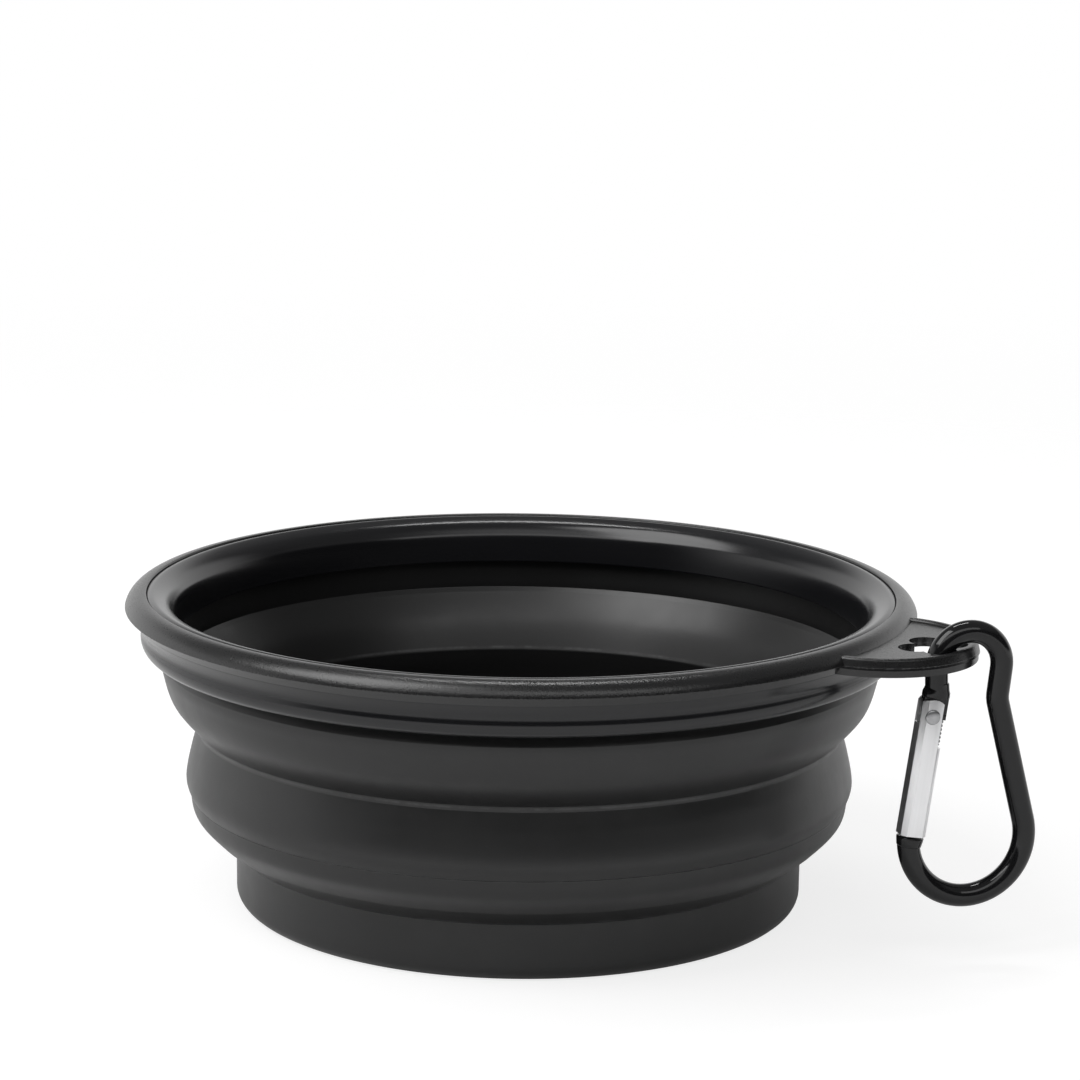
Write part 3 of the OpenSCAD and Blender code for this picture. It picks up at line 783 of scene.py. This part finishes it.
class HookPlan:
    """Points and directions of the hook's flat drawing."""

    def __init__(self, hook):
        lean = math.radians(6)
        wire = hook.wire_radius
        self.lean = lean
        self.bow = Vector((hook.bow_shift, -hook.drop))
        self.neck_r = 2.6 * wire
        self.arch_end = hook.arch_radius * Vector((math.cos(lean), -math.sin(lean)))
        self.neck_start = self.arch_end - 0.15 * hook.drop * Vector((math.sin(lean), math.cos(lean)))
        self.neck = self.neck_start + self.neck_r * Vector((math.cos(lean), -math.sin(lean)))
        away = self.bow - self.neck
        self.spine_turn = (math.atan2(away.y, away.x)
                           + math.asin((hook.bow_radius + self.neck_r) / away.length))
        across = Vector((math.sin(self.spine_turn), -math.cos(self.spine_turn)))
        self.spine_start = self.neck + self.neck_r * across
        self.spine_end = self.bow - hook.bow_radius * across
        self.nose_turn = math.radians(186)
        self.nose = self.bow + hook.bow_radius * Vector((math.cos(self.nose_turn), math.sin(self.nose_turn)))
        self.nose_height = 0.9 * wire
        self.rivet = (hung().inverted() @ RIVET_AT).to_2d()
        self.back = hook.cheek_width / 2
        self.front = hook.gate_width - self.back
        self.middle = (self.front - self.back) / 2
        run = self.nose - self.rivet
        self.gate_turn = math.atan2(run.y, run.x) + math.pi / 2 - math.asin(self.middle / run.length)
        self.nose_low = -math.sqrt(run.length ** 2 - self.middle ** 2)
        self.gate_end = self.nose_low + self.nose_height + 2 * PLAY
        self.tongue_back = 0.8 * self.back
        self.tongue_front = 0.66 * hook.gate_width
        self.tongue_middle = (self.tongue_front - self.tongue_back) / 2
        self.foot = 0.48 * hook.eye_radius
        self.shoulder_low = hook.gate_top + PLAY
        self.shoulder_height = 0.9 * wire
        leg_end = Vector((self.tongue_middle, self.shoulder_low + 0.6 * self.shoulder_height, 0))
        self.leg_end = (self.gate_flat() @ leg_end).to_2d()
        far = self.leg_end.length
        self.leg_turn = (math.atan2(self.leg_end.y, self.leg_end.x)
                         - math.acos(hook.arch_radius / far)) % math.tau
        self.leg_start = hook.arch_radius * Vector((math.cos(self.leg_turn), math.sin(self.leg_turn)))

    def gate_flat(self):
        """Takes the gate's own drawing, from the rivet down, into the hook's."""
        return Matrix.Translation(self.rivet.to_3d()) @ Matrix.Rotation(self.gate_turn, 4, "Z")

    def gate(self):
        """Takes the gate's own drawing to where it hangs."""
        return hung() @ self.gate_flat()


def run_on(step):
    """Draws the open end of a wire straight on."""
    bpy.ops.mesh.extrude_region_move(TRANSFORM_OT_translate={"value": (step.x, step.y, 0)})


def bend_on(centre, turn, steps):
    """Bends the open end of a wire on round a centre."""
    bpy.ops.mesh.spin(steps=steps, angle=turn, center=(centre.x, centre.y, 0), axis=(0, 0, -1))


def next_ring(step, wide, deep, middle):
    """Draws a ring along the gate and changes its width and depth about the middle."""
    bpy.ops.mesh.extrude_region_move(TRANSFORM_OT_translate={"value": (0, step, 0)})
    bpy.ops.transform.resize(value=(wide, 1, deep), center_override=middle)


def hook_rod(hook, plan):
    """The bent wire, from inside the nose round the bow and over the arch into the shoulder."""
    lap = math.radians(5)
    start = plan.nose_turn - lap
    first = plan.bow + hook.bow_radius * Vector((math.cos(start), math.sin(start)))
    rod = begin("hook_rod", bpy.ops.mesh.primitive_circle_add, vertices=40, radius=hook.wire_radius,
                location=first.to_3d(), rotation=(math.pi / 2, 0, start))
    bend_on(plan.bow, plan.spine_turn + math.pi / 2 + math.tau - start, steps=56)
    run_on(plan.spine_start - plan.spine_end)
    bend_on(plan.neck, math.pi / 2 - plan.lean - plan.spine_turn - math.pi, steps=12)
    run_on(plan.arch_end - plan.neck_start)
    bend_on(Vector((0, 0)), plan.leg_turn + plan.lean, steps=40)
    run_on(plan.leg_end - plan.leg_start)
    bpy.ops.mesh.select_all(action="SELECT")
    bpy.ops.mesh.fill_holes(sides=0)
    close()
    return settle(rod, hung())


def hook_shoulder(hook, plan):
    """The flared shoulder at the end of the wire, pressed flat on two sides."""
    radius, face = 0.97 * hook.wire_radius, 1.02 * hook.wire_radius
    x, low, tall = plan.tongue_middle, plan.shoulder_low, plan.shoulder_height
    top = low + tall + 0.5 * hook.wire_radius
    wide = (plan.tongue_front + plan.tongue_back) / 2 + 0.25 * MM
    knob = begin("hook_shoulder", bpy.ops.mesh.primitive_circle_add, vertices=40, radius=radius,
                 location=(x, top, 0), rotation=(math.pi / 2, 0, 0))
    bpy.ops.mesh.edge_face_add()
    at, was = top, (1.0, 1.0)
    for up, share in SHOULDER_RINGS:
        height = low + up * tall
        now = (between(radius, wide, share) / radius, 1.0 + 0.06 * share)
        next_ring(height - at, now[0] / was[0], now[1] / was[1], (x, height, 0))
        at, was = height, now
    bpy.ops.mesh.edge_face_add()
    close()
    settle(knob)
    flat = block("flat_tool", (x - 2 * wide, low - MM, -face), (x + 2 * wide, top + MM, face))
    cut(knob, flat, "INTERSECT")
    edged(knob, width=0.15 * MM, segments=3, angle=40)
    return settle(knob, plan.gate())


def hook_tongue(hook, plan):
    """The thin tongue between the gate's cheeks, with its eye and its foot."""
    half = hook.tongue / 2
    high = plan.shoulder_low + 0.5 * plan.shoulder_height
    tongue = block("hook_tongue", (-plan.tongue_back, 0, -half), (plan.tongue_front, high, half))
    foot = block("foot", (0, -plan.foot, -half), (plan.tongue_front, 0.5 * plan.foot, half))
    cut(tongue, foot, "UNION")
    cut(tongue, drill("eye", hook.eye_radius, hook.tongue, (0, 0, 0)), "UNION")
    edged(tongue, width=0.12 * MM, angle=40)
    return settle(tongue, plan.gate())


def hook_nose(hook, plan):
    """The flared nose that the gate shuts against."""
    low, tall = plan.nose_low, plan.nose_height
    foot = (plan.middle, low, 0)
    narrower, neck = 0.88, 0.93
    nose = begin("hook_nose", bpy.ops.mesh.primitive_cylinder_add, vertices=40,
                 radius=1.23 * hook.wire_radius, depth=tall,
                 location=(plan.middle, low + tall / 2, 0), rotation=(math.pi / 2, 0, 0))
    pick(nose, "verts", lambda v: (nose.matrix_world @ v.co).y < low + 0.5 * tall)
    bpy.ops.transform.resize(value=(narrower, 1, narrower), center_override=foot)
    next_ring(-0.5 * hook.wire_radius, neck, neck, foot)
    close()
    settle(nose)
    edged(nose, width=0.25 * MM, segments=3, angle=40)
    return settle(nose, plan.gate())


class BOWL_OT_snap_hook(Operator):
    """Model the hook's bent wire, its flared nose, its shoulder and its tongue."""
    bl_idname = "bowl.snap_hook"
    bl_label = "Snap hook"

    def execute(self, context):
        hook = context.scene.bowl_hook
        plan = HookPlan(hook)
        parts = [make(hook, plan) for make in (hook_rod, hook_shoulder, hook_tongue, hook_nose)]
        piece = joined("hook_wire", *parts)
        finished(piece, "hook", "hook_metal", "carabiner_frame")
        return {"FINISHED"}


class BOWL_OT_gate(Operator):
    """Model the bright gate, forked over the hook's tongue and slotted for the spring."""
    bl_idname = "bowl.gate"
    bl_label = "Gate"

    def execute(self, context):
        hook = context.scene.bowl_hook
        plan = HookPlan(hook)
        half = hook.gate_thickness / 2
        top = hook.gate_top
        far = 4 * half
        low, high = Vector((-plan.back, plan.gate_end, -half)), Vector((plan.front, top, half))
        gate = begin("gate_bar", bpy.ops.mesh.primitive_cube_add, size=1, location=(low + high) / 2)
        bpy.ops.transform.resize(value=high - low, center_override=(low + high) / 2)
        pick(gate, "edges", lambda e: abs((e.verts[0].co - e.verts[1].co).normalized().y) > 0.9)
        bpy.ops.mesh.bevel(offset=0.4 * half, offset_type="OFFSET", segments=1, affect="EDGES")
        close()
        settle(gate)
        corner = block("corner_tool", (-far, 0, -far), (far, far, far))
        cut(corner, drill("round_tool", top, 3 * far, (0, 0, 0)))
        cut(gate, corner)
        slot, eye = hook.tongue / 2 + PLAY, hook.eye_radius + PLAY
        slot_low, slot_in = -hook.slot_length, hook.slot_back - plan.back
        cut(gate, block("front_tool", (plan.back, slot_low, -far), (far, far, far)))
        cut(gate, block("slot_tool", (slot_in, slot_low, -slot), (far, far, slot)))
        cut(gate, block("fork_tool", (-far, -eye, -slot), (far, far, slot)))
        edged(gate, width=0.1 * MM, angle=30)
        settle(gate, plan.gate())
        finished(gate, "gate", "gate_metal", "carabiner_gate", angle=30)
        return {"FINISHED"}


class BOWL_OT_rivet(Operator):
    """Model the rivet that the gate turns on."""
    bl_idname = "bowl.rivet"
    bl_label = "Rivet"

    def execute(self, context):
        hook = context.scene.bowl_hook
        radius = hook.rivet_radius
        head = hook.gate_thickness / 2 + 0.05 * MM
        rim = head + 0.35 * hook.rivet_head
        dome = 0.65 * hook.rivet_head
        half = [(hook.shank_radius, head), (radius, head)]
        half += [(radius * x, rim + dome * y) for x, y in arc((0, 0), 1, 0, 90, steps=8)]
        half[-1] = (0, rim + dome)
        outline = [(r, -z) for r, z in reversed(half)] + half
        rivet = turned("rivet_heads", outline, steps=48)
        edged(rivet, width=0.06 * MM, angle=50)
        settle(rivet, HookPlan(hook).gate())
        finished(rivet, "hook", "rivet_metal", "gate_rivet")
        return {"FINISHED"}


class BOWL_OT_spring(Operator):
    """Model the small coil that closes the gate."""
    bl_idname = "bowl.spring"
    bl_label = "Spring"

    def execute(self, context):
        hook = context.scene.bowl_hook
        plan = HookPlan(hook)
        wire = hook.spring_wire
        coil = hook.spring_radius - wire
        turns, steps = 6, 24
        top, bottom = -plan.foot - PLAY, PLAY - hook.slot_length
        pitch = (top - bottom - 2 * wire) / turns
        spring = begin("gate_coil", bpy.ops.mesh.primitive_circle_add, vertices=10, radius=wire,
                       location=(coil, 0, 0), rotation=(math.pi / 2, 0, 0))
        bpy.ops.object.mode_set(mode="OBJECT")
        settle(spring)
        shaped(spring, "SCREW", axis="Z", angle=math.tau, screw_offset=pitch, iterations=turns,
               steps=steps, render_steps=steps)
        bpy.ops.object.mode_set(mode="EDIT")
        bpy.ops.mesh.select_all(action="SELECT")
        bpy.ops.mesh.fill_holes(sides=12)
        close(FINE_MERGE)
        upright = Matrix.Rotation(-math.pi / 2, 4, "X")
        place = Matrix.Translation((0.58 * hook.cheek_width, bottom + wire, 0)) @ upright
        settle(spring, plan.gate() @ place)
        finished(spring, "gate", "spring_wire", "gate_spring")
        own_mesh(spring)
        return {"FINISHED"}


# Stage

AZIMUTH = math.radians(26.2)
ELEVATION = math.radians(15.04)
VIEW_POINT = Vector((0, 0, 0.026))
VIEW_DISTANCE = 0.6
FRAMING = (("Y", -0.285), ("X", 3.218), ("Z", 0.671))  # small turns of the camera, in degrees
LENS, SENSOR = 120.07, 36
FLOOR_RADIUS = 0.9
FLOOR_FADE = (0.22, 0.75)  # from where to where the floor fades into the room
BACKDROP_TURN = 0.4  # how much further the backdrop reaches round on the left
BACKDROP_SIDE, BACKDROP_TOP = (-0.3, 0.3), (0.33, 0.55)  # where it fades, along the view and in height
CEILING, HORIZON = (0.35, 0.6), (-0.02, 0.08)  # heights where the ceiling and the ground begin
DIM = (0.04, 0.04, 0.04)
LAMP_TARGET = Vector((0, 0, 0.03))
# Lamps: place towards the front, the left and up, then size and power
LAMPS = {
    "key_lamp": ((0.22, 0.5, 0.78), (0.6, 0.6), 5.0),
    "front_lamp": ((0.6, 0, 0.62), (1.4, 0.26), 1.8),
    "top_lamp": ((-0.3, 0, 0.87), (0.4, 0.06), 1.4),
}


def floor_paper(colours):
    """White paper that keeps the shadow, shows white to the camera and fades away far from the bowl."""
    finish = Finish("floor_paper")
    seen = finish.ray("Camera") + 0.15 * finish.ray("Glossy") + 0.15 * finish.ray("Transmission")
    shade = finish.node("ShaderNodeBsdfDiffuse", {}, {"Color": lighter(colours.floor_white, -0.66)})
    glow = finish.node("ShaderNodeEmission", {}, {"Color": (1, 1, 1), "Strength": 0.79})
    shown = finish.node("ShaderNodeAddShader", {}, {0: shade, 1: glow})
    lit = finish.node("ShaderNodeBsdfDiffuse", {}, {"Color": colours.floor_white})
    paper = finish.node("ShaderNodeMixShader", {}, {0: seen, 1: lit, 2: shown})
    gone = finish.node("ShaderNodeBsdfTransparent", {}, {})
    away = finish.node("ShaderNodeVectorMath", {"operation": "LENGTH"}, {0: finish.place}, "Value")
    near = finish.falling(away, *FLOOR_FADE)
    return finish.shows(finish.node("ShaderNodeMixShader", {}, {0: near, 1: gone, 2: paper}))


def studio(towards):
    """A dim room with a white backdrop behind the bowl, a pale ceiling and white where the camera looks."""
    room = Finish("studio", "worlds", "Background")
    way = room.node("ShaderNodeTexCoord", {}, {}, "Generated")
    height = room.node("ShaderNodeSeparateXYZ", {}, {0: way}, "Z")
    ahead = room.node("ShaderNodeVectorMath", {"operation": "DOT_PRODUCT"}, {0: way, 1: towards}, "Value")
    backdrop = room.falling(ahead, *BACKDROP_SIDE) * room.falling(height, *BACKDROP_TOP)
    mirrored = room.ray("Glossy") + room.ray("Transmission")
    ceiling = 0.2 * (1 - room.falling(height, *CEILING))
    paper = room.falling(height, *HORIZON)
    share = 0.9 * backdrop + 0.1 * (backdrop * mirrored)
    share = share.or_more(ceiling).or_more(paper).or_more(room.ray("Camera"))
    room.done(color=DIM)
    dim = Value(room, room.shader.outputs[0])
    white = room.node("ShaderNodeBackground", {}, {"Color": (1, 1, 1), "Strength": 1.0})
    return room.shows(room.node("ShaderNodeMixShader", {}, {0: share, 1: dim, 2: white}), "World Output")


def lamp(name, place, size, power):
    """A soft lamp that looks at the bowl."""
    data = bpy.data.lights.new(name, "AREA")
    data.shape = "RECTANGLE"
    data.size, data.size_y = size
    data.energy = power
    light = bpy.data.objects.new(name, data)
    bpy.context.collection.objects.link(light)
    light.location = place
    light.rotation_euler = (LAMP_TARGET - place).to_track_quat("-Z", "Y").to_euler()


def camera(back):
    """A camera that looks at the bowl from a direction, with the small turns that frame it."""
    data = bpy.data.cameras.new("camera")
    data.lens = LENS
    data.sensor_width = SENSOR
    data.clip_start = 0.01
    viewer = bpy.data.objects.new("camera", data)
    bpy.context.collection.objects.link(viewer)
    aim = back.to_track_quat("Z", "Y").to_matrix()
    for axis, turn in FRAMING:
        aim = aim @ Matrix.Rotation(math.radians(turn), 3, axis)
    viewer.matrix_world = Matrix.Translation(VIEW_POINT + VIEW_DISTANCE * back) @ aim.to_4x4()
    return viewer


class BOWL_OT_stage(Operator):
    """Set up the pale floor, the soft light and the camera."""
    bl_idname = "bowl.stage"
    bl_label = "Stage"

    def execute(self, context):
        scene = context.scene
        floor = begin("floor", bpy.ops.mesh.primitive_circle_add, vertices=96, radius=FLOOR_RADIUS,
                      fill_type="NGON")
        bpy.ops.mesh.inset(thickness=0.5)
        close()
        settle(floor)
        floor.data.materials.append(floor_paper(scene.bowl_finishes))

        front = Vector((math.sin(AZIMUTH), -math.cos(AZIMUTH), 0))
        left = front.cross(UP)
        scene.world = studio((front - BACKDROP_TURN * left).normalized())
        for name, ((ahead, aside, above), size, power) in LAMPS.items():
            lamp(name, ahead * front + aside * left + above * UP, size, power)
        scene.camera = camera(math.cos(ELEVATION) * front + math.sin(ELEVATION) * UP)
        scene.view_settings.view_transform = "Standard"
        return {"FINISHED"}


class BOWL_PT_panel(Panel):
    """Lists the steps that build the bowl."""
    bl_idname = "BOWL_PT_panel"
    bl_label = "Folding bowl"
    bl_space_type = "VIEW_3D"
    bl_region_type = "UI"
    bl_category = "Bowl"

    def draw(self, context):
        for step in STEPS:
            self.layout.operator(step.bl_idname)
        for group in GROUPS:
            box = self.layout.box()
            for key in GROUPS[group].__annotations__:
                box.prop(getattr(context.scene, group), key)


GROUPS = {
    "bowl_rim": RimSizes,
    "bowl_silicone": SiliconeSizes,
    "bowl_hook": HookSizes,
    "bowl_finishes": Finishes,
}
STEPS = (BOWL_OT_finishes, BOWL_OT_rim_ring, BOWL_OT_hang_tab, BOWL_OT_rim_frame, BOWL_OT_silicone,
         BOWL_OT_snap_hook, BOWL_OT_gate, BOWL_OT_rivet, BOWL_OT_spring, BOWL_OT_stage)


def register():
    """Adds the settings, the steps and the panel to Blender."""
    for name, group in GROUPS.items():
        bpy.utils.register_class(group)
        setattr(bpy.types.Scene, name, PointerProperty(type=group))
    for step in STEPS:
        bpy.utils.register_class(step)
    bpy.utils.register_class(BOWL_PT_panel)


def unregister():
    """Takes the panel, the steps and the settings out of Blender again."""
    bpy.utils.unregister_class(BOWL_PT_panel)
    for step in reversed(STEPS):
        bpy.utils.unregister_class(step)
    for name, group in GROUPS.items():
        delattr(bpy.types.Scene, name)
        bpy.utils.unregister_class(group)


def main():
    register()
    for step in STEPS:
        group, name = step.bl_idname.split(".")
        if getattr(getattr(bpy.ops, group), name)() != {"FINISHED"}:
            raise RuntimeError(f"{step.bl_label} did not finish")


if __name__ == "__main__":
    main()
